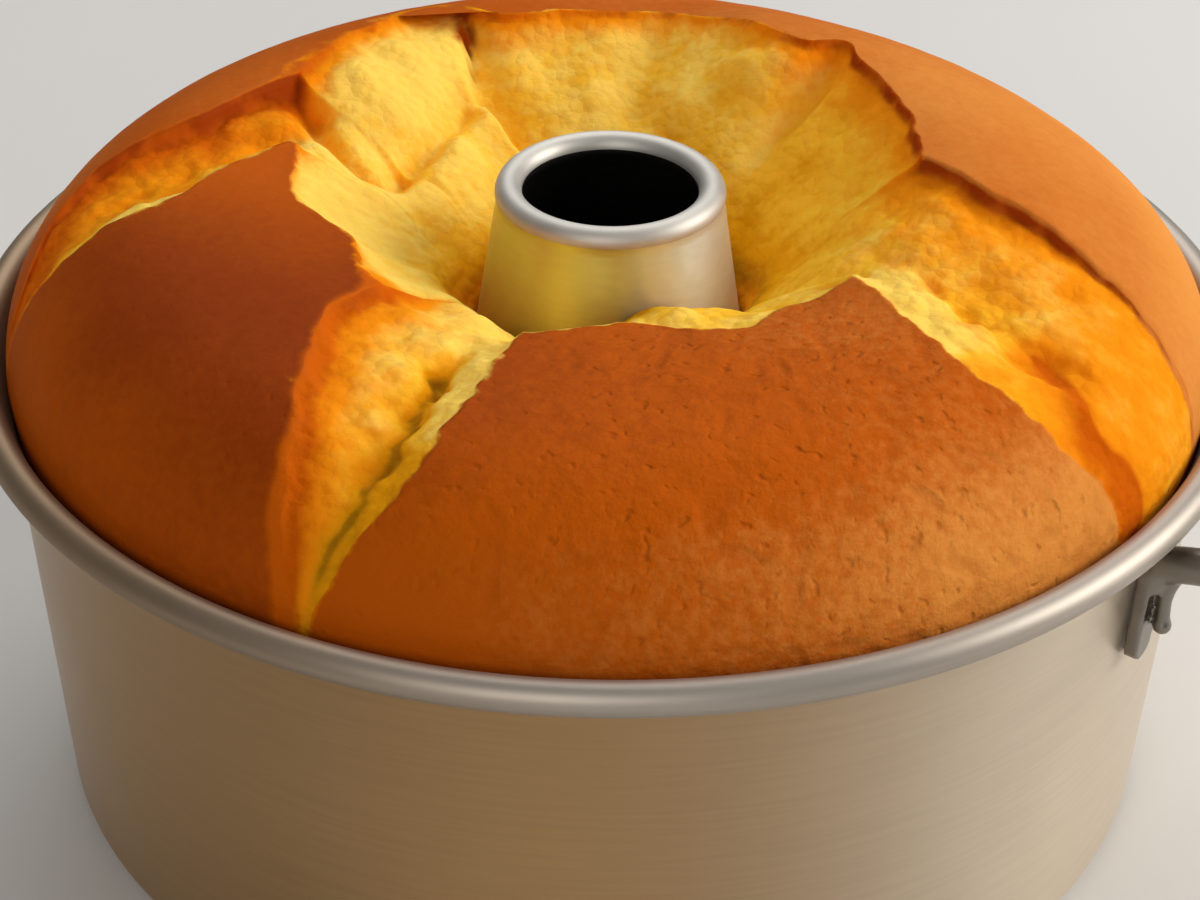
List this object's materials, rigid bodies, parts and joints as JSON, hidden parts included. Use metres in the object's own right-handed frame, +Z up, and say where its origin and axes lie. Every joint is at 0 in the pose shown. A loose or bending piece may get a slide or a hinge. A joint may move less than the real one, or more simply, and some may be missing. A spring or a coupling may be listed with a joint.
{
  "type": "chiffon cake in a tube tin",
  "caption": "Domed golden chiffon cake, its crust torn into plates round a funnel of yellow crumb, standing in a round aluminium tube tin with a rolled rim and a side handle.",
  "frame": {"origin": "under the middle of the whole outline, handle included, on the plane that the tin stands on; the axis of the tin and tube is 14.7 mm from it towards -X", "axes": "+Z up along the tube, +X towards the handle's side, -Y towards the front, where the widest plate of crust lies"},
  "size_m": [0.2972, 0.2678, 0.1391],
  "materials": {
    "cake_crust": "matt baked crust, red-brown on top and orange-gold at the rim, over yellow open crumb",
    "tin_aluminium": "matt spun aluminium, brushed round the axis",
    "tube_aluminium": "satin spun aluminium with fine scratches",
    "handle_aluminium": "dull cast aluminium"
  },
  "bodies": {
    "root": {"cake": "cake_crust", "tin_wall": "tin_aluminium", "tube_base": "tube_aluminium", "handle": "handle_aluminium"}
  },
  "joints": []
}
